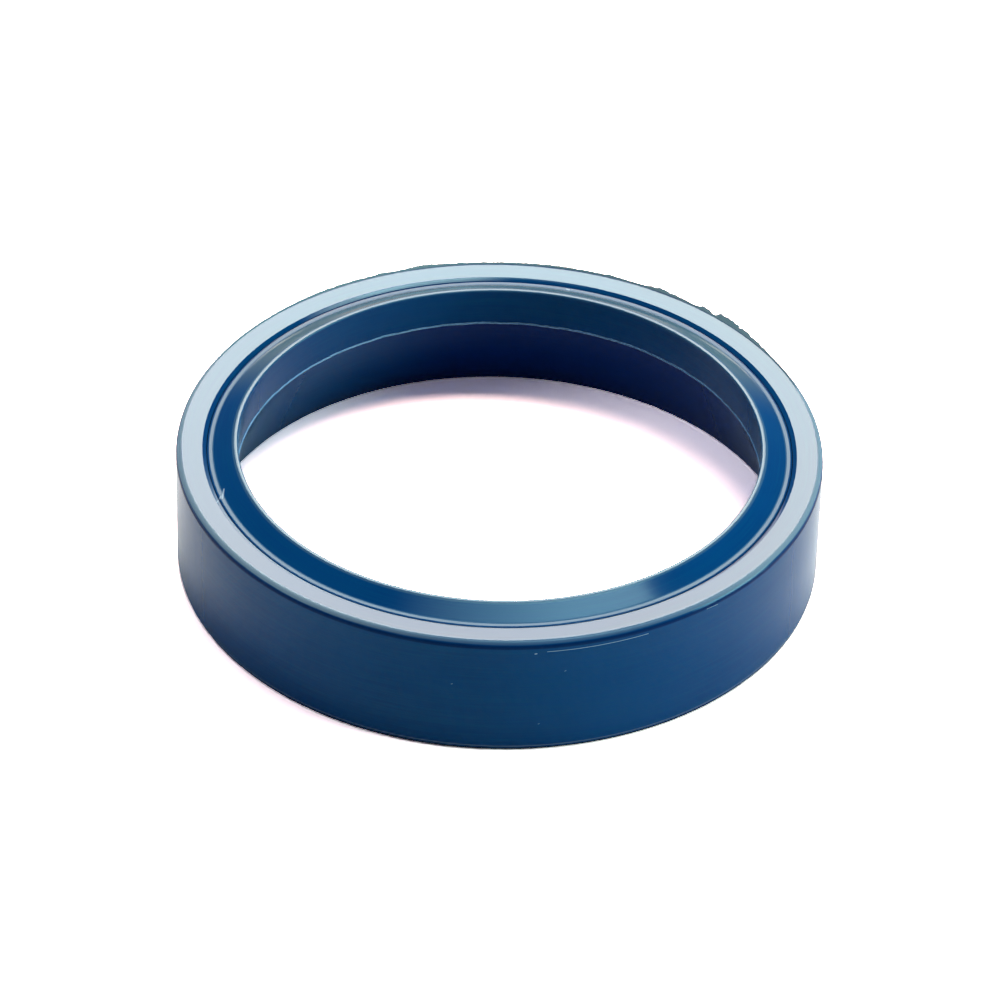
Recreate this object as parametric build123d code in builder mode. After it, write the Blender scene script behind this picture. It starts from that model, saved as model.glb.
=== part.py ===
"""U cup seal: one ring moulded in polyurethane, groove side up, standing on its heel.

The section is drawn once, in a plane through the axis, and turned about Z.
Z = 0 is the underside of the heel. The rod passes through the bore, and the outer
wall seats in the housing.
"""
import os
from math import cos, radians

from build123d import *

os.makedirs("parts", exist_ok=True)

# ---------------------------------------------------------------------------
# Sizes across the section, from the rod outwards (millimetres)
# ---------------------------------------------------------------------------
bore_radius = 24.45  # straight band of the inner leg, along the rod
inner_leg_width = 2.46  # bore band to the groove's mouth
inner_lead_width = 0.17  # the mouth's shallow side, on the inner leg
groove_width = 0.10  # the U groove itself, nearly closed while the seal is free
outer_lead_width = 0.35  # the mouth's steeper side, on the outer leg
outer_leg_width = 2.47  # the groove's mouth to the housing wall
heel_width = 2.25  # the foot that the ring stands on, in from the housing wall
land_width = 0.35  # flat beside the groove, on the inner leg
tip_width = 0.32  # flat top of the lip
sealing_edge_reach = 0.10  # the sealing edge stands this far into the bore

# ---------------------------------------------------------------------------
# Heights
# ---------------------------------------------------------------------------
face_height = 12.0  # underside of the heel to the inner edge of the outer leg's face
face_rise = 0.25  # the face climbs this much to its outer edge
land_drop = 0.15  # the land lies this far below the face's inner edge
lip_rise = 0.72  # the lip stands this far above the face's inner edge
sealing_edge_drop = 3.20  # face's inner edge down to the sealing edge
mouth_depth = 0.22  # face's inner edge down to where the mouth meets the groove
groove_depth = 5.0  # face's inner edge down to the bottom of the groove

# ---------------------------------------------------------------------------
# Corners of the section
# ---------------------------------------------------------------------------
face_outer_rounding = 0.60
tip_bevel = 0.13
heel_outer_bevel = 0.35
heel_inner_bevel = 0.12

# ---------------------------------------------------------------------------
# Flash: thin film left by the mould, leaning outwards along half of the face's outer edge
# ---------------------------------------------------------------------------
flash_thickness = 0.14
flash_lean = 45  # degrees up from level
flash_inset = 0.45  # housing wall in to where the film leaves the face
flash_root = 0.30  # length of film sunk in the face
flash_reach = 0.80  # length of film above the face, before it tore
# The torn crest, as (degrees round from +X, height above the face's outer edge)
flash_crest = [
    (20.0, 0.00), (24.0, 0.07), (30.4, 0.08), (33.5, 0.16), (36.6, 0.24), (40.8, 0.38), (44.2, 0.42),
    (45.6, 0.47), (46.6, 0.12), (47.9, 0.20), (49.9, 0.32), (50.6, 0.15), (52.0, 0.10), (54.1, 0.15),
    (57.6, 0.22), (59.7, 0.30), (61.4, 0.20), (62.4, 0.11), (65.9, 0.10), (69.0, 0.15), (70.1, 0.20),
    (70.7, 0.12), (80.0, 0.15), (90.0, 0.12), (100.2, 0.13), (102.9, 0.18), (105.5, 0.25), (107.5, 0.18),
    (108.6, 0.11), (111.7, 0.10), (113.8, 0.17), (115.5, 0.10), (125.0, 0.12), (138.0, 0.07), (150.0, 0.08),
    (155.0, 0.00),
]

# ---------------------------------------------------------------------------
# Places that follow from the sizes: distance from the axis, then height
# ---------------------------------------------------------------------------
mouth_inner_radius = bore_radius + inner_leg_width
groove_inner_radius = mouth_inner_radius + inner_lead_width
groove_outer_radius = groove_inner_radius + groove_width
mouth_outer_radius = groove_outer_radius + outer_lead_width
outer_radius = mouth_outer_radius + outer_leg_width

sealing_edge_height = face_height - sealing_edge_drop
groove_end_height = face_height - groove_depth
groove_top_height = face_height - mouth_depth
land_height = face_height - land_drop
lip_height = face_height + lip_rise
face_outer_height = face_height + face_rise
flash_radius = outer_radius - flash_inset

heel_inner = (outer_radius - heel_width, 0)
heel_outer = (outer_radius, 0)
face_outer = (outer_radius, face_outer_height)
face_inner = (mouth_outer_radius, face_height)
groove_top_outer = (groove_outer_radius, groove_top_height)
groove_end_outer = (groove_outer_radius, groove_end_height)
groove_end_inner = (groove_inner_radius, groove_end_height)
groove_top_inner = (groove_inner_radius, groove_top_height)
land_outer = (mouth_inner_radius, land_height)
land_inner = (mouth_inner_radius - land_width, land_height)
tip_outer = (bore_radius + tip_width, lip_height)
tip_inner = (bore_radius, lip_height)
band_foot = (bore_radius, sealing_edge_height)
sealing_edge = (bore_radius - sealing_edge_reach, sealing_edge_height)

bevelled_corners = [
    (heel_outer, heel_outer_bevel),
    (heel_inner, heel_inner_bevel),
    (tip_inner, tip_bevel),
]


# ---------------------------------------------------------------------------
# Flash: a leaning film round the whole edge, kept only under its torn crest
# ---------------------------------------------------------------------------
film_start = Location((flash_radius, face_outer_height, 0), (0, 0, flash_lean))
torn = [(flash_radius * cos(radians(angle)), face_outer_height + height) for angle, height in flash_crest]

with BuildPart() as flash:
    with BuildSketch(Plane.XZ):
        with Locations(film_start * Location((-flash_root, 0, 0))):
            Rectangle(flash_root + flash_reach, flash_thickness, align=(Align.MIN, Align.CENTER))
    revolve(axis=Axis.Z)
    with BuildSketch(Plane.XZ):
        with BuildLine():
            Polyline((torn[0][0], face_height), *torn, (torn[-1][0], face_height), close=True)
        make_face()
    extrude(amount=-(outer_radius + flash_reach), mode=Mode.INTERSECT)

# ---------------------------------------------------------------------------
# The ring
# ---------------------------------------------------------------------------
with BuildPart() as seal_ring:
    with BuildSketch(Plane.XZ) as section:
        with BuildLine():
            Polyline(heel_inner, heel_outer, face_outer, face_inner)
            Polyline(face_inner, groove_top_outer, groove_end_outer, groove_end_inner)
            Polyline(groove_end_inner, groove_top_inner, land_outer, land_inner, tip_outer, tip_inner)
            Polyline(tip_inner, band_foot, sealing_edge, heel_inner)
        make_face()
        fillet(section.vertices().sort_by_distance(face_outer)[0], face_outer_rounding)
        for corner, width in bevelled_corners:
            chamfer(section.vertices().sort_by_distance(corner)[0], width)
    revolve(axis=Axis.Z)
    add(flash.part)

seal_ring.part.label = "seal_ring"
export_step(seal_ring.part, "parts/seal_ring.step")
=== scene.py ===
"""U cup seal: one moulded polyurethane ring on a pale studio floor, groove side up."""
from math import cos, pi, radians, sin, tan

import bmesh
import bpy
from mathutils import Matrix, Vector, noise


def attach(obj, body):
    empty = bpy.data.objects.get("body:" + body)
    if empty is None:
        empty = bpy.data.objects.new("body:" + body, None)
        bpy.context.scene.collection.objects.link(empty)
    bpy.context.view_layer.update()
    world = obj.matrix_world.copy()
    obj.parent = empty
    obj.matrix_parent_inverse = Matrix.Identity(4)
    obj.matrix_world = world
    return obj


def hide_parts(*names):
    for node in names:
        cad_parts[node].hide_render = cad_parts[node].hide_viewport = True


MM = 0.001
SAME_PLACE = 0.001 * MM

# ---------------------------------------------------------------------------
# The ring's section, in millimetres: distance from the axis, then height
# ---------------------------------------------------------------------------
BORE_RADIUS = 24.45
INNER_LEG_WIDTH = 2.46
INNER_LEAD_WIDTH = 0.17
GROOVE_WIDTH = 0.10
OUTER_LEAD_WIDTH = 0.35
OUTER_LEG_WIDTH = 2.47
HEEL_WIDTH = 2.25
LAND_WIDTH = 0.35
TIP_WIDTH = 0.32
SEALING_EDGE_REACH = 0.10
LIP_LEAN = 0.22

FACE_HEIGHT = 12.0
FACE_RISE = 0.25
LAND_DROP = 0.15
LIP_RISE = 0.72
SEALING_EDGE_DROP = 3.20
MOUTH_DEPTH = 0.22
GROOVE_DEPTH = 5.0

MOUTH_INNER = BORE_RADIUS + INNER_LEG_WIDTH
GROOVE_INNER = MOUTH_INNER + INNER_LEAD_WIDTH
GROOVE_OUTER = GROOVE_INNER + GROOVE_WIDTH
MOUTH_OUTER = GROOVE_OUTER + OUTER_LEAD_WIDTH
OUTER_RADIUS = MOUTH_OUTER + OUTER_LEG_WIDTH
EDGE_HEIGHT = FACE_HEIGHT - SEALING_EDGE_DROP
GROOVE_TOP = FACE_HEIGHT - MOUTH_DEPTH
GROOVE_END = FACE_HEIGHT - GROOVE_DEPTH
LAND_HEIGHT = FACE_HEIGHT - LAND_DROP
LIP_HEIGHT = FACE_HEIGHT + LIP_RISE
RIM_HEIGHT = FACE_HEIGHT + FACE_RISE

# How far the corners of the worn ring stand from those sizes
GROOVE_CLOSED = 0.02
LAND_WORN = 0.05
TIP_LEAN = 0.12
TIP_OUTER_WORN = 0.055
TIP_INNER_WORN = 0.02

# Each corner in turn: its place, the radius that rounds it, and how many flats the round has
SECTION = [
    ((OUTER_RADIUS - HEEL_WIDTH, 0), 0.12, 4),
    ((OUTER_RADIUS, 0), 0.40, 8),
    ((OUTER_RADIUS, RIM_HEIGHT), 0.60, 12),
    ((MOUTH_OUTER, FACE_HEIGHT), 0.10, 3),
    ((GROOVE_OUTER - GROOVE_CLOSED, GROOVE_TOP), 0.04, 3),
    ((GROOVE_OUTER - GROOVE_CLOSED, GROOVE_END), 0.0, 0),
    ((GROOVE_INNER + GROOVE_CLOSED, GROOVE_END), 0.0, 0),
    ((GROOVE_INNER + GROOVE_CLOSED, GROOVE_TOP), 0.04, 3),
    ((MOUTH_INNER, LAND_HEIGHT - LAND_WORN), 0.28, 4),
    ((MOUTH_INNER - LAND_WIDTH, LAND_HEIGHT - LAND_WORN), 0.36, 4),
    ((BORE_RADIUS + TIP_WIDTH - TIP_LEAN, LIP_HEIGHT - TIP_OUTER_WORN), 0.20, 4),
    ((BORE_RADIUS - LIP_LEAN, LIP_HEIGHT - TIP_INNER_WORN), 0.15, 6),
    ((BORE_RADIUS, EDGE_HEIGHT), 0.0, 0),
    ((BORE_RADIUS - SEALING_EDGE_REACH, EDGE_HEIGHT), 0.03, 2),
]
STEPS_ROUND = 540

# The film of flash: how it leaves the face, then its torn crest as (degrees round from +X, height above the
# rim of the face). The crest is finely frayed, by noise given as (waves to a degree, strength).
FLASH_THICKNESS = 0.07
FLASH_TAPER = 0.4
FLASH_LEAN = radians(45)
FLASH_RADIUS = OUTER_RADIUS - 0.45
FLASH_ROOT = 0.30
FLASH_REACH = 0.75
FLASH_CREST = [
    (20.0, 0.00), (24.0, 0.07), (30.4, 0.08), (33.5, 0.16), (36.6, 0.24), (40.8, 0.38), (44.2, 0.42),
    (45.6, 0.47), (46.6, 0.12), (47.9, 0.20), (49.9, 0.32), (50.6, 0.15), (52.0, 0.10), (54.1, 0.15),
    (57.6, 0.22), (59.7, 0.30), (61.4, 0.20), (62.4, 0.11), (65.9, 0.10), (69.0, 0.15), (70.1, 0.20),
    (70.7, 0.12), (80.0, 0.15), (90.0, 0.12), (100.2, 0.13), (102.9, 0.18), (105.5, 0.25), (107.5, 0.18),
    (108.6, 0.11), (111.7, 0.10), (113.8, 0.17), (115.5, 0.10), (125.0, 0.12), (138.0, 0.07), (150.0, 0.08),
    (155.0, 0.00),
]
CREST_STEP = 0.35
CREST_NEAR = 0.04
FRAY_WAVES = [(0.9, 1.0), (2.7, 0.6)]
FRAY_MEAN = 0.85
FRAY_SWING = 0.4


# ---------------------------------------------------------------------------
# Small helpers
# ---------------------------------------------------------------------------
def deselect_all():
    for other in bpy.context.selected_objects:
        other.select_set(False)


def activate(piece):
    deselect_all()
    piece.select_set(True)
    bpy.context.view_layer.objects.active = piece


def in_section(corner):
    """A corner of the section as a point in the plane through the axis and +X, in metres."""
    return Vector((corner[0] * MM, 0, corner[1] * MM))


def select_vertices(piece, wanted):
    """Selects, in edit mode, only the vertices whose place passes the test."""
    mesh = bmesh.from_edit_mesh(piece.data)
    mesh.select_mode = {"VERT"}
    for vertex in mesh.verts:
        vertex.select = bool(wanted(vertex.co))
    mesh.select_flush_mode()
    bmesh.update_edit_mesh(piece.data)


def apply_modifier(piece, kind, **values):
    modifier = piece.modifiers.new(kind.title(), kind)
    for name, value in values.items():
        setattr(modifier, name, value)
    activate(piece)
    bpy.ops.object.modifier_apply(modifier=modifier.name)


# ---------------------------------------------------------------------------
# Shader nodes
# ---------------------------------------------------------------------------
def add_node(tree, kind, inputs, **settings):
    """A shader node with its settings, and its inputs given as values or as other nodes' outputs."""
    made = tree.nodes.new("ShaderNode" + kind)
    for name, value in settings.items():
        setattr(made, name, value)
    for socket, value in inputs.items():
        if isinstance(value, bpy.types.NodeSocket):
            tree.links.new(value, made.inputs[socket])
        else:
            made.inputs[socket].default_value = value
    return made


def maths(tree, operation, first, second=0.0):
    """The result of one step of arithmetic."""
    return add_node(tree, "Math", {0: first, 1: second}, operation=operation).outputs[0]


def blend(tree, factor, first, second):
    """The first colour where the factor is nought, and the second where it is one."""
    return add_node(tree, "Mix", {0: factor, 6: first, 7: second}, data_type="RGBA").outputs[2]


# ---------------------------------------------------------------------------
# The ring
# ---------------------------------------------------------------------------
def bevel_offset(before, corner, after, radius):
    """How far along its two sides a round of this radius starts from the corner."""
    to_before = (in_section(before) - in_section(corner)).normalized()
    to_after = (in_section(after) - in_section(corner)).normalized()
    return radius * MM / tan(to_before.angle(to_after) / 2)


def draw_outline(places):
    """Draws edges from place to place, starting from the selected speck, which stands at the first."""
    bpy.ops.mesh.merge(type="CENTER")
    for here, there in zip(places, places[1:]):
        bpy.ops.mesh.extrude_region_move(TRANSFORM_OT_translate={"value": there - here})


def start_piece(name, place):
    """A new piece in edit mode, with a speck at this place to draw its outline from."""
    bpy.ops.mesh.primitive_plane_add(size=MM, location=(0, 0, 0))
    piece = bpy.context.object
    piece.name = name
    bpy.ops.object.mode_set(mode="EDIT")
    bpy.ops.transform.translate(value=place)
    return piece


def close_piece():
    """Turns the faces outwards and leaves edit mode."""
    bpy.ops.mesh.select_all(action="SELECT")
    bpy.ops.mesh.normals_make_consistent(inside=False)
    bpy.ops.object.mode_set(mode="OBJECT")


def draw_section(piece):
    """Draws the outline from corner to corner, then rounds its corners."""
    places = [corner for corner, radius, flats in SECTION]
    draw_outline([in_section(place) for place in places])
    first, last = in_section(places[0]), in_section(places[-1])
    select_vertices(piece, lambda place: min((place - first).length, (place - last).length) < SAME_PLACE)
    bpy.ops.mesh.edge_face_add()
    for number, (corner, radius, flats) in enumerate(SECTION):
        if not flats:
            continue
        offset = bevel_offset(places[number - 1], corner, places[(number + 1) % len(places)], radius)
        select_vertices(piece, lambda place: (place - in_section(corner)).length < SAME_PLACE)
        bpy.ops.mesh.bevel(offset=offset, segments=flats, affect="VERTICES")


def make_ring():
    """The section, spun once round the axis."""
    piece = start_piece("ring", in_section(SECTION[0][0]))
    draw_section(piece)
    bpy.ops.mesh.select_all(action="SELECT")
    bpy.ops.mesh.spin(steps=STEPS_ROUND, angle=2 * pi, center=(0, 0, 0), axis=(0, 0, 1))
    bpy.ops.mesh.select_all(action="SELECT")
    bpy.ops.mesh.remove_doubles(threshold=SAME_PLACE)
    close_piece()
    return piece


# ---------------------------------------------------------------------------
# The flash
# ---------------------------------------------------------------------------
def crest_height(angle):
    """The torn crest at this angle, in millimetres: straight between the listed points, then frayed."""
    for (a, low), (b, high) in zip(FLASH_CREST, FLASH_CREST[1:]):
        if a <= angle <= b:
            height = low + (high - low) * (angle - a) / (b - a)
            fray = 0.0
            for number, (waves, strength) in enumerate(FRAY_WAVES):
                fray += strength * noise.noise(Vector((angle * waves, 5 * number, 0)))
            return height * min(max(FRAY_MEAN + FRAY_SWING * fray, 0.0), 1.0)
    return 0.0


def make_flash():
    """A thin leaning strip spun along the far half of the rim, its crest then drawn back to the tear."""
    along = Vector((cos(FLASH_LEAN), 0, sin(FLASH_LEAN))) * MM
    across = Vector((-sin(FLASH_LEAN), 0, cos(FLASH_LEAN))) * MM * FLASH_THICKNESS / 2
    thin = across * FLASH_TAPER
    start = Vector((FLASH_RADIUS, 0, RIM_HEIGHT)) * MM
    root, edge = start - along * FLASH_ROOT, start + along * FLASH_REACH
    first, last = FLASH_CREST[0][0], FLASH_CREST[-1][0]
    steps = round((last - first) / CREST_STEP)
    turn = Matrix.Rotation(radians(first), 3, "Z")
    corners = [turn @ corner for corner in (root - across, edge - thin, edge + thin, root + across)]
    piece = start_piece("flash", corners[0])
    draw_outline(corners)
    bpy.ops.mesh.select_all(action="SELECT")
    bpy.ops.mesh.edge_face_add()
    bpy.ops.mesh.spin(steps=steps, angle=radians(last - first), center=(0, 0, 0), axis=(0, 0, -1))
    for number in range(steps + 1):
        angle = first + (last - first) * number / steps
        turn = Matrix.Rotation(radians(angle), 3, "Z")
        crest, back = turn @ edge, crest_height(angle) / sin(FLASH_LEAN) - FLASH_REACH
        select_vertices(piece, lambda place: (place - crest).length < CREST_NEAR * MM)
        bpy.ops.transform.translate(value=turn @ along * back)
    close_piece()
    return piece


# ---------------------------------------------------------------------------
# Camera, floor and light
# ---------------------------------------------------------------------------
CAMERA_PLACE = Vector((0.000148, -0.40390, 0.30694))
CAMERA_DOWN = radians(36.72)
CAMERA_ROLL = radians(1.492)
CAMERA_LENS = 194.25

FLOOR_SIZE = 8
FLOOR_TONE = (0.8, 0.8, 0.8, 1)
FLOOR_IN_GLOSS = (0.60, 0.74, 0.84, 1)
FLOOR_TO_EYE = (4.1, 3.65, 3.85, 1)

# How a lamp's light fades: the axis of its face, where it is dimmest, where it is full, and how dim. This
# one is even.
EVEN = ("X", 0, 1, 1.0)


def make_camera():
    camera = bpy.data.objects.new("camera", bpy.data.cameras.new("camera"))
    bpy.context.scene.collection.objects.link(camera)
    camera.data.lens = CAMERA_LENS
    camera.data.sensor_width = 36
    camera.location = CAMERA_PLACE
    turn = Matrix.Rotation(pi / 2 - CAMERA_DOWN, 4, "X") @ Matrix.Rotation(CAMERA_ROLL, 4, "Z")
    camera.rotation_euler = turn.to_euler()
    camera.data.clip_start = 0.01
    camera.data.clip_end = 10
    bpy.context.scene.camera = camera


def make_softbox(name, place, aim, size, radiance, colour, fade=EVEN):
    """A soft rectangular lamp, facing its aim, whose light may fade over its face."""
    axis, dim_at, full_at, dimmest = fade
    lamp = bpy.data.lights.new(name, "AREA")
    lamp.shape = "RECTANGLE"
    lamp.size, lamp.size_y = size
    lamp.energy = radiance * size[0] * size[1] * pi
    lamp.color = colour
    lamp.use_nodes = True
    tree = lamp.node_tree
    face = add_node(tree, "NewGeometry", {}).outputs["Parametric"]
    across = add_node(tree, "SeparateXYZ", {0: face}).outputs[axis]
    limits = {"Value": across, "From Min": dim_at, "From Max": full_at, "To Min": dimmest}
    strength = add_node(tree, "MapRange", limits).outputs["Result"]
    tree.links.new(strength, tree.nodes["Emission"].inputs["Strength"])
    holder = bpy.data.objects.new(name, lamp)
    bpy.context.scene.collection.objects.link(holder)
    holder.location = place
    holder.rotation_euler = (Vector(place) - Vector(aim)).to_track_quat("Z", "Y").to_euler()


def light_toward(azimuth, elevation, distance):
    """A place seen from the ring: azimuth from +Y towards +X, elevation above the floor."""
    a, e = radians(azimuth), radians(elevation)
    return Vector((sin(a) * cos(e), cos(a) * cos(e), sin(e))) * distance


def make_lights():
    """One lamp behind the ring, one overhead, and a dimmer one at each side."""
    centre = Vector((0, 0, FACE_HEIGHT * MM))
    overhead = Vector((0.085, 0.125, 1.0))
    make_softbox(
        name="back_lamp",
        place=light_toward(azimuth=0, elevation=31, distance=1.0) + centre,
        aim=centre,
        size=(0.36, 0.65),
        radiance=40.0,
        colour=(1.0, 0.80, 0.65),
        fade=("Y", 0.05, 1, 0.0),
    )
    make_softbox(
        name="top_lamp",
        place=overhead,
        aim=overhead - Vector((0, 0, 1)),
        size=(0.72, 0.36),
        radiance=19.0,
        colour=(1, 0.78, 0.66),
        fade=("X", 1.0, 0.35, 0.0),
    )
    make_softbox(
        name="left_lamp",
        place=light_toward(azimuth=-98, elevation=34, distance=1.2) + centre,
        aim=centre,
        size=(0.6, 0.5),
        radiance=3.0,
        colour=(0.95, 0.98, 1),
    )
    make_softbox(
        name="right_lamp",
        place=light_toward(azimuth=98, elevation=12.5, distance=1.2) + centre,
        aim=centre,
        size=(0.6, 0.5),
        radiance=16.0,
        colour=(0.80, 1.0, 0.86),
    )


def seen_directly(tree):
    """One for rays from the eye and for those that gloss or glass sends on; nought for all others."""
    path = add_node(tree, "LightPath", {}).outputs
    sent_on = maths(tree, "MAXIMUM", path["Is Glossy Ray"], path["Is Transmission Ray"])
    return maths(tree, "MAXIMUM", path["Is Camera Ray"], sent_on)


def make_world():
    """White for the eye; for gloss and glass pale low down and dark overhead; a dim fill for the rest."""
    world = bpy.data.worlds.new("studio")
    bpy.context.scene.world = world
    world.use_nodes = True
    tree = world.node_tree
    tree.nodes.clear()
    direction = add_node(tree, "TexCoord", {}).outputs["Object"]
    up = add_node(tree, "SeparateXYZ", {0: direction}).outputs["Z"]
    limits = {"Value": up, "From Max": 0.18, "To Min": 0.7, "To Max": 0.12}
    walls = add_node(tree, "MapRange", limits).outputs["Result"]
    to_eye = add_node(tree, "LightPath", {}).outputs["Is Camera Ray"]
    brightness = maths(tree, "MAXIMUM", walls, to_eye)
    seen = add_node(tree, "Background", {"Color": (1, 1, 1, 1), "Strength": brightness})
    fill = add_node(tree, "Background", {"Color": (0.96, 0.95, 1.0, 1), "Strength": 0.13})
    mix = add_node(tree, "MixShader", {0: seen_directly(tree), 1: fill.outputs[0], 2: seen.outputs[0]})
    add_node(tree, "OutputWorld", {"Surface": mix.outputs[0]})


def make_floor():
    """A matt floor: so bright to the eye that only shadows show, bluish in gloss, and grey to the rest."""
    bpy.ops.mesh.primitive_plane_add(size=FLOOR_SIZE, location=(0, 0, 0))
    floor = bpy.context.object
    floor.name = "floor"
    material = bpy.data.materials.new("pale_floor")
    material.use_nodes = True
    tree = material.node_tree
    tree.nodes.clear()
    path = add_node(tree, "LightPath", {}).outputs
    tone = blend(tree, path["Is Glossy Ray"], FLOOR_TONE, FLOOR_IN_GLOSS)
    tone = blend(tree, path["Is Camera Ray"], tone, FLOOR_TO_EYE)
    matt = add_node(tree, "BsdfDiffuse", {"Color": tone})
    add_node(tree, "OutputMaterial", {"Surface": matt.outputs[0]})
    floor.data.materials.append(material)


# ---------------------------------------------------------------------------
# Polyurethane
# ---------------------------------------------------------------------------
BODY_TONE = (0.0, 0.031, 0.134, 1)
DRIFTED_TONE = (0.0, 0.037, 0.152, 1)
LINES_TONE = (0.0, 0.040, 0.146, 1)
TRIMMED_TONE = (0.105, 0.200, 0.290, 1)
FLASH_TONE = (0.110, 0.220, 0.280, 1)
# Painted shade: the dark line under the rim
UNDER_RIM_SHADE_TONE = (0.0, 0.010, 0.070, 1)
# Painted sheen on the far half of the slope
SLOPE_SHEEN_TONE = (0.038, 0.094, 0.142, 1)
LAND_TONE = (0.012, 0.072, 0.180, 1)
# Painted highlight on the lip's flat top
TIP_HIGHLIGHT_TONE = (0.030, 0.095, 0.190, 1)
# Painted reflection in the groove's mouth
MOUTH_REFLECTION_TONE = (0.13, 0.25, 0.37, 1)
SEALING_TONE = (0.20, 0.42, 0.68, 1)
# Painted shade low in the bore, below the sealing edge
BORE_SHADE_TONE = (0.0, 0.006, 0.100, 1)
# Painted reflection and painted contact shadow at the heel
HEEL_REFLECTION_TONE = (0.070, 0.120, 0.220, 1)
HEEL_SHADOW_TONE = (0.0, 0.004, 0.025, 1)
SCRATCH_AND_GLINT_TONE = (0.32, 0.50, 0.68, 1)

REFRACTION = 1.5
SHINE = 0.20
SHINE_TINT = (0.30, 0.8, 1.0, 1)
ROUGHNESS = 0.09

# What share of the shine is lost where the ring is dull
LAND_DULLED = 0.4
UNDER_RIM_DULLED = 0.6
BORE_DULLED = 0.6

# The fine lines left by the mould, as waves of noise to a metre, and how far the trimmed edge strays
LINES_ALONG = 150.0
LINES_ACROSS = 5000.0
RAGGED_BY = 0.16

# Stretches round the ring: first angle, last angle and the soft part at each end, in degrees from +X
LESS_TRIMMED = (-108.0, -52.0, 40.0)
# The far stretch of the slope that carries the painted sheen
FAR_SLOPE_SHEEN = (25.0, 155.0, 30.0)
# The near and far stretches of the groove's mouth that carry the painted reflection
MOUTH_REFLECTION_NEAR = (-162.0, -55.0, 30.0)
MOUTH_REFLECTION_FAR = (93.0, 130.0, 12.0)
# The stretch of the bore that is duller and carries the painted shade below the sealing edge
DULL_SHADED_BORE = (-30.0, 115.0, 40.0)

# Where marks begin and are full, in millimetres from the axis or above the floor
TRIMMED_OUT = (29.42, 29.50)
TRIMMED_UP = (11.90, 12.02)
HEEL_OUT = (29.2, 29.4)
HEEL_DOWN = (0.46, 0.36)
BORE_IN = (28.4, 28.0)

# Light scratch marks and nicks, and one painted glint: (degrees round, height, radius) at both ends, half
# the width, and how pale it is
SCRATCHES_AND_GLINT = [
    ((-81.0, 11.17, 30.0), (-63.0, 11.23, 30.0), 0.055, 0.45),
    ((-51.0, 11.53, 30.0), (-48.6, 11.45, 30.0), 0.050, 0.35),
    ((-83.1, 11.00, 30.0), (-82.8, 11.02, 30.0), 0.080, 0.50),
    ((-166.6, 12.36, 25.5), (-162.6, 11.95, 26.35), 0.050, 0.35),
    ((-162.8, 11.85, 26.3), (-160.2, 11.75, 26.8), 0.130, 0.70),
    ((-161.0, 11.80, 26.8), (-158.8, 11.96, 27.5), 0.130, 0.50),
    # A painted glint: a bright speck on the land, not a nick
    ((76.4, 11.86, 26.75), (77.0, 11.88, 26.80), 0.140, 0.80),
    ((-97.2, 7.35, 30.0), (-97.0, 7.40, 30.0), 0.070, 0.20),
    ((-77.9, 8.80, 30.0), (-77.7, 8.85, 30.0), 0.065, 0.20),
    ((-82.2, 3.00, 30.0), (-82.0, 3.05, 30.0), 0.060, 0.18),
]


def smooth_step(tree, value, low, high):
    """Nought up to low, one from high, and smooth between; low may be the larger."""
    inputs = {"Value": value, "From Min": low, "From Max": high}
    return add_node(tree, "MapRange", inputs, interpolation_type="SMOOTHSTEP").outputs["Result"]


def step_mm(tree, value, low, high):
    """The same step, with low and high in millimetres."""
    return smooth_step(tree, value, low * MM, high * MM)


def noise_value(tree, vector, scale, roughness=0.5):
    inputs = {"Vector": vector, "Scale": scale, "Detail": 3.0, "Roughness": roughness}
    return add_node(tree, "TexNoise", inputs).outputs[0]


def add_sockets(group, in_out, kind, names):
    for name in names:
        group.interface.new_socket(name, in_out=in_out, socket_type="NodeSocket" + kind)


def unrolled_place():
    """A node group: where a point lies round the ring (unrolled at the outer wall), up it and out from the
    axis. Lines is the place to look up the fine lines that run round the ring."""
    group = bpy.data.node_groups.new("unrolled_place", "ShaderNodeTree")
    add_sockets(group, "OUTPUT", "Vector", ("Unrolled", "Lines"))
    add_sockets(group, "OUTPUT", "Float", ("Radius", "Height", "Angle"))
    place = add_node(group, "TexCoord", {}).outputs["Object"]
    x, y, z = add_node(group, "SeparateXYZ", {0: place}).outputs
    squares = maths(group, "ADD", maths(group, "MULTIPLY", x, x), maths(group, "MULTIPLY", y, y))
    radius = maths(group, "SQRT", squares)
    angle = maths(group, "ARCTAN2", y, x)
    round_wall = maths(group, "MULTIPLY", angle, OUTER_RADIUS * MM)
    along_x = maths(group, "MULTIPLY", x, LINES_ALONG)
    along_y = maths(group, "MULTIPLY", y, LINES_ALONG)
    level = maths(group, "MULTIPLY", maths(group, "SUBTRACT", radius, z), LINES_ACROSS)
    output = group.nodes.new("NodeGroupOutput")
    made = {
        "Unrolled": add_node(group, "CombineXYZ", {0: round_wall, 1: z, 2: radius}).outputs[0],
        "Lines": add_node(group, "CombineXYZ", {0: along_x, 1: along_y, 2: level}).outputs[0],
        "Radius": radius,
        "Height": z,
        "Angle": maths(group, "DEGREES", angle),
    }
    for name, socket in made.items():
        group.links.new(socket, output.inputs[name])
    return group


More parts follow.
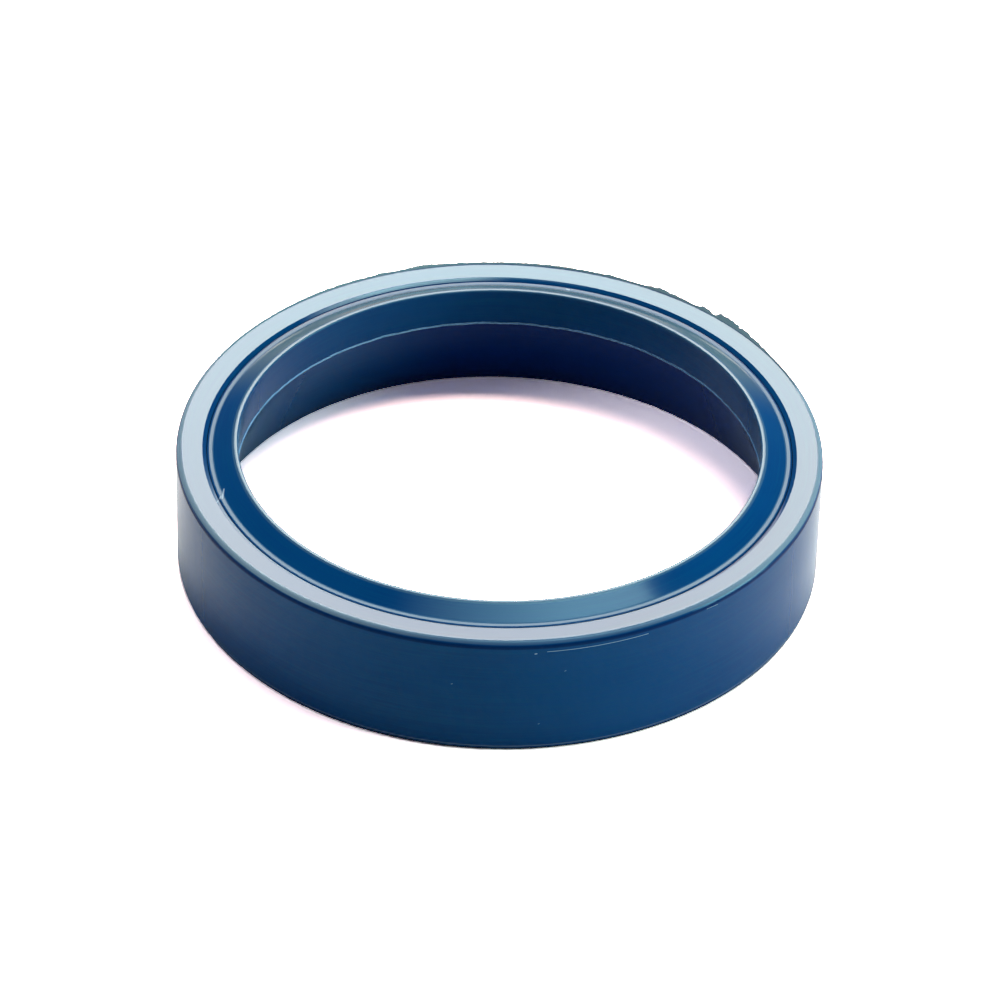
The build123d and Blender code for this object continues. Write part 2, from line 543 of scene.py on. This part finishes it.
def stroke_mask():
    """A node group: one on a straight stroke between two unrolled places, and nought beyond its width."""
    group = bpy.data.node_groups.new("stroke_mask", "ShaderNodeTree")
    add_sockets(group, "INPUT", "Vector", ("Place", "Start", "Along"))
    add_sockets(group, "INPUT", "Float", ("Width",))
    add_sockets(group, "OUTPUT", "Float", ("Mask",))
    given = group.nodes.new("NodeGroupInput").outputs
    along = given["Along"]

    def vectors(operation, inputs, result="Vector"):
        return add_node(group, "VectorMath", inputs, operation=operation).outputs[result]

    offset = vectors("SUBTRACT", {0: given["Place"], 1: given["Start"]})
    ahead = vectors("DOT_PRODUCT", {0: offset, 1: along}, "Value")
    reached = maths(group, "DIVIDE", ahead, vectors("DOT_PRODUCT", {0: along, 1: along}, "Value"))
    share = add_node(group, "Clamp", {0: reached}).outputs[0]
    nearest = vectors("SCALE", {0: along, "Scale": share})
    apart = vectors("LENGTH", {0: vectors("SUBTRACT", {0: offset, 1: nearest})}, "Value")
    fade = maths(group, "DIVIDE", apart, given["Width"])
    output = group.nodes.new("NodeGroupOutput")
    group.links.new(smooth_step(group, fade, 1.0, 0.2), output.inputs["Mask"])
    return group


def unrolled(angle, height, radius):
    """A place on the ring, as the node group unrolls it."""
    return Vector((radians(angle) * OUTER_RADIUS, height, radius)) * MM


def scratches_and_glint(tree, place):
    """Every scratch mark and nick, and the painted glint, as one mask."""
    group = stroke_mask()
    total = 0.0
    for start, end, width, paleness in SCRATCHES_AND_GLINT:
        one = tree.nodes.new("ShaderNodeGroup")
        one.node_tree = group
        tree.links.new(place, one.inputs["Place"])
        one.inputs["Start"].default_value = unrolled(*start)
        one.inputs["Along"].default_value = unrolled(*end) - unrolled(*start)
        one.inputs["Width"].default_value = width * MM
        total = maths(tree, "MAXIMUM", maths(tree, "MULTIPLY", one.outputs["Mask"], paleness), total)
    return total


def on_arc(tree, angle, first, last, soft):
    """One from the first angle round to the last, falling to nought over the soft part at each end."""
    half = (last - first) / 2
    off_middle = maths(tree, "SUBTRACT", angle, (first + last) / 2)
    wrapped = add_node(tree, "Math", {0: off_middle, 1: 180.0, 2: -180.0}, operation="WRAP").outputs[0]
    return smooth_step(tree, maths(tree, "ABSOLUTE", wrapped), half + soft / 2, half - soft / 2)


def band(tree, value, low, high, soft):
    """One from low to high, in millimetres, falling to nought over the soft part at each end."""
    off_middle = maths(tree, "ABSOLUTE", maths(tree, "SUBTRACT", value, (low + high) / 2 * MM))
    half = (high - low) / 2
    return step_mm(tree, off_middle, half + soft / 2, half - soft / 2)


def product(tree, *values):
    """All the values multiplied together."""
    total = values[0]
    for value in values[1:]:
        total = maths(tree, "MULTIPLY", total, value)
    return total


def trimmed_edge(tree, tone, rough, where, ragged):
    """The face's outer edge: a dull, paler trimmed band, the film of flash, and painted shade as a dark line
    under both.
    """
    height = where["Height"]
    out = step_mm(tree, maths(tree, "ADD", where["Radius"], ragged), *TRIMMED_OUT)
    up = step_mm(tree, maths(tree, "ADD", height, ragged), *TRIMMED_UP)
    spared = product(tree, on_arc(tree, where["Angle"], *LESS_TRIMMED), 0.70)
    trimmed = product(tree, out, up, maths(tree, "SUBTRACT", 1.0, spared))
    film = product(tree, out, step_mm(tree, height, RIM_HEIGHT - 0.03, RIM_HEIGHT + 0.03))
    under = product(tree, band(tree, height, 11.54, 11.88, 0.14), out)
    tone = blend(tree, product(tree, trimmed, 0.85), tone, TRIMMED_TONE)
    tone = blend(tree, product(tree, film, 0.85), tone, FLASH_TONE)
    # Painted shade: a dark line under the rim
    tone = blend(tree, product(tree, under, 0.85), tone, UNDER_RIM_SHADE_TONE)
    return tone, maths(tree, "ADD", rough, product(tree, trimmed, 0.33)), under


def far_slope_sheen(tree, tone, where):
    """The slope up to the lip is painted greyer along the far half: a painted sheen."""
    slope = band(tree, where["Radius"], BORE_RADIUS + 0.30, MOUTH_INNER - LAND_WIDTH, 0.10)
    above = step_mm(tree, where["Height"], LAND_HEIGHT - 0.10, LAND_HEIGHT)
    far = on_arc(tree, where["Angle"], *FAR_SLOPE_SHEEN)
    # Painted sheen: the far slope is painted greyer
    return blend(tree, product(tree, slope, above, far), tone, SLOPE_SHEEN_TONE)


def worn_land(tree, tone, rough, where):
    """The land beside the groove is duller than the rest, and a little paler."""
    between = band(tree, where["Radius"], MOUTH_INNER - LAND_WIDTH - 0.20, MOUTH_INNER + 0.02, 0.06)
    below = step_mm(tree, where["Height"], LAND_HEIGHT, LAND_HEIGHT - 0.03)
    above = step_mm(tree, where["Height"], LAND_HEIGHT - 0.20, LAND_HEIGHT - 0.16)
    land = product(tree, between, below, above)
    tone = blend(tree, product(tree, land, 0.8), tone, LAND_TONE)
    return tone, maths(tree, "ADD", rough, product(tree, land, 0.16)), land


def tip_highlight(tree, tone, rough, where):
    """The lip's flat top is a little duller, and painted a little paler as a painted highlight along the
    lip.
    """
    tip = step_mm(tree, where["Height"], LIP_HEIGHT - 0.16, LIP_HEIGHT - 0.10)
    # Painted highlight: the lip's top is painted paler
    tone = blend(tree, product(tree, tip, 0.7), tone, TIP_HIGHLIGHT_TONE)
    return tone, maths(tree, "ADD", rough, product(tree, tip, 0.08))


def mouth_reflection(tree, tone, where):
    """The groove's mouth is painted paler along two stretches: a painted reflection."""
    near = product(tree, on_arc(tree, where["Angle"], *MOUTH_REFLECTION_NEAR), 0.75)
    far = product(tree, on_arc(tree, where["Angle"], *MOUTH_REFLECTION_FAR), 0.85)
    mouth = band(tree, where["Radius"], MOUTH_INNER + 0.03, MOUTH_OUTER - 0.03, 0.04)
    above = step_mm(tree, where["Height"], GROOVE_TOP + 0.01, GROOVE_TOP + 0.05)
    # Painted reflection: the mouth is painted paler
    return blend(tree, product(tree, maths(tree, "MAXIMUM", near, far), mouth, above), tone, MOUTH_REFLECTION_TONE)


def worn_sealing_edge(tree, tone, rough, where):
    """The sealing edge in the bore is worn to a pale line that wanders a little."""
    wander = maths(tree, "SUBTRACT", noise_value(tree, where["Unrolled"], scale=330.0, roughness=0.6), 0.5)
    height = maths(tree, "ADD", where["Height"], product(tree, wander, 0.34 * MM))
    inside = step_mm(tree, where["Radius"], BORE_RADIUS + 0.15, BORE_RADIUS + 0.05)
    line = product(tree, band(tree, height, EDGE_HEIGHT - 0.07, EDGE_HEIGHT + 0.07, 0.08), inside)
    tone = blend(tree, product(tree, line, 0.9), tone, SEALING_TONE)
    return tone, maths(tree, "ADD", rough, product(tree, line, 0.25))


def dull_and_shaded_bore(tree, tone, where):
    """Along one stretch the wall of the bore is duller, and below the sealing edge it is painted darker with
    painted shade.
    """
    height, radius = where["Height"], where["Radius"]
    stretch = on_arc(tree, where["Angle"], *DULL_SHADED_BORE)
    under_edge = step_mm(tree, height, EDGE_HEIGHT + 0.05, EDGE_HEIGHT - 0.15)
    below = product(tree, under_edge, step_mm(tree, radius, *BORE_IN))
    under_lip = step_mm(tree, height, LIP_HEIGHT - 0.20, LIP_HEIGHT - 0.35)
    straight = product(tree, under_lip, step_mm(tree, radius, BORE_RADIUS + 0.30, BORE_RADIUS + 0.10))
    # Painted shade below the sealing edge
    tone = blend(tree, product(tree, below, stretch, 0.75), tone, BORE_SHADE_TONE)
    return tone, product(tree, maths(tree, "MAXIMUM", below, straight), stretch)


def heel_corner(tree, tone, where):
    """The corner of the heel: a painted reflection as a thin pale line where the wall ends, and painted
    contact shadow beneath it.
    """
    outside = step_mm(tree, where["Radius"], *HEEL_OUT)
    heel_reflection = product(tree, band(tree, where["Height"], 0.50, 0.62, 0.10), outside, 0.8)
    below = product(tree, step_mm(tree, where["Height"], *HEEL_DOWN), outside, 0.92)
    # Painted reflection as a pale line, then painted contact shadow below it
    tone = blend(tree, heel_reflection, tone, HEEL_REFLECTION_TONE)
    return blend(tree, below, tone, HEEL_SHADOW_TONE)


def make_polyurethane():
    """A blue, slightly shiny plastic whose tone drifts, with the marks of moulding and wear, and with
    painted sheen, reflections, highlight and shade.
    """
    material = bpy.data.materials.new("polyurethane")
    material.use_nodes = True
    tree = material.node_tree
    shader = tree.nodes["Principled BSDF"]
    shader.inputs["IOR"].default_value = REFRACTION
    shader.inputs["Specular Tint"].default_value = SHINE_TINT

    place = tree.nodes.new("ShaderNodeGroup")
    place.node_tree = unrolled_place()
    where = place.outputs
    broad = noise_value(tree, add_node(tree, "TexCoord", {}).outputs["Object"], scale=90.0)
    fine = noise_value(tree, where["Lines"], scale=1.0, roughness=0.6)
    ragged = maths(tree, "SUBTRACT", noise_value(tree, where["Lines"], scale=0.9), 0.5)
    ragged = product(tree, ragged, RAGGED_BY * MM)

    # The body's tone drifts from place to place, and along the lines that the mould was turned with
    tone = blend(tree, smooth_step(tree, broad, 0.3, 0.7), BODY_TONE, DRIFTED_TONE)
    tone = blend(tree, smooth_step(tree, fine, 0.35, 0.75), tone, LINES_TONE)
    rough = maths(tree, "ADD", product(tree, fine, 0.06), ROUGHNESS)

    # Some of these marks are painted light: the dark line under the rim, the far slope's sheen, the mouth's
    # reflection, the lip's highlight, the bore's shade, and the heel's reflection and shadow
    tone, rough, under = trimmed_edge(tree, tone, rough, where, ragged)
    tone = far_slope_sheen(tree, tone, where)
    tone, rough, land = worn_land(tree, tone, rough, where)
    tone, rough = tip_highlight(tree, tone, rough, where)
    tone = mouth_reflection(tree, tone, where)
    tone, bore = dull_and_shaded_bore(tree, tone, where)
    tone, rough = worn_sealing_edge(tree, tone, rough, where)
    tone = heel_corner(tree, tone, where)
    marks = scratches_and_glint(tree, where["Unrolled"])
    # Pale scratch marks and nicks, and one painted glint
    tone = blend(tree, marks, tone, SCRATCH_AND_GLINT_TONE)
    rough = maths(tree, "ADD", rough, product(tree, marks, 0.3))

    dulled = maths(tree, "ADD", product(tree, land, LAND_DULLED), product(tree, under, UNDER_RIM_DULLED))
    dulled = maths(tree, "ADD", dulled, product(tree, bore, BORE_DULLED))
    shine = product(tree, maths(tree, "SUBTRACT", 1.0, dulled), SHINE)
    bump = add_node(tree, "Bump", {"Height": fine, "Strength": 0.15, "Distance": 0.004 * MM})
    tree.links.new(tone, shader.inputs["Base Color"])
    tree.links.new(rough, shader.inputs["Roughness"])
    tree.links.new(shine, shader.inputs["Specular IOR Level"])
    tree.links.new(bump.outputs["Normal"], shader.inputs["Normal"])
    return material


# ---------------------------------------------------------------------------
# The scene
# ---------------------------------------------------------------------------
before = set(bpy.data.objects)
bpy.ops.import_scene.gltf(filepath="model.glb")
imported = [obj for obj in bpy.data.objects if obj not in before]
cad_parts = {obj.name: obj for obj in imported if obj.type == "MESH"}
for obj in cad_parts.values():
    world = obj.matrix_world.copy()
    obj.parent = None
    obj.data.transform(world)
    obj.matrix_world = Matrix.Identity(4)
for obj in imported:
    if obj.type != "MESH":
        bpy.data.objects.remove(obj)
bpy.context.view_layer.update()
deselect_all()

ring = make_ring()
ring.name = "u_cup_ring"
flash = make_flash()
activate(ring)
flash.select_set(True)
bpy.ops.object.join()
ring.data.materials.append(make_polyurethane())
activate(ring)
bpy.ops.object.shade_smooth_by_angle(angle=radians(30))
apply_modifier(ring, "WEIGHTED_NORMAL", keep_sharp=True, weight=100)
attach(ring, "root")
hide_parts("seal_ring")

make_floor()
make_camera()
make_lights()
make_world()
bpy.context.scene.view_settings.view_transform = "Standard"
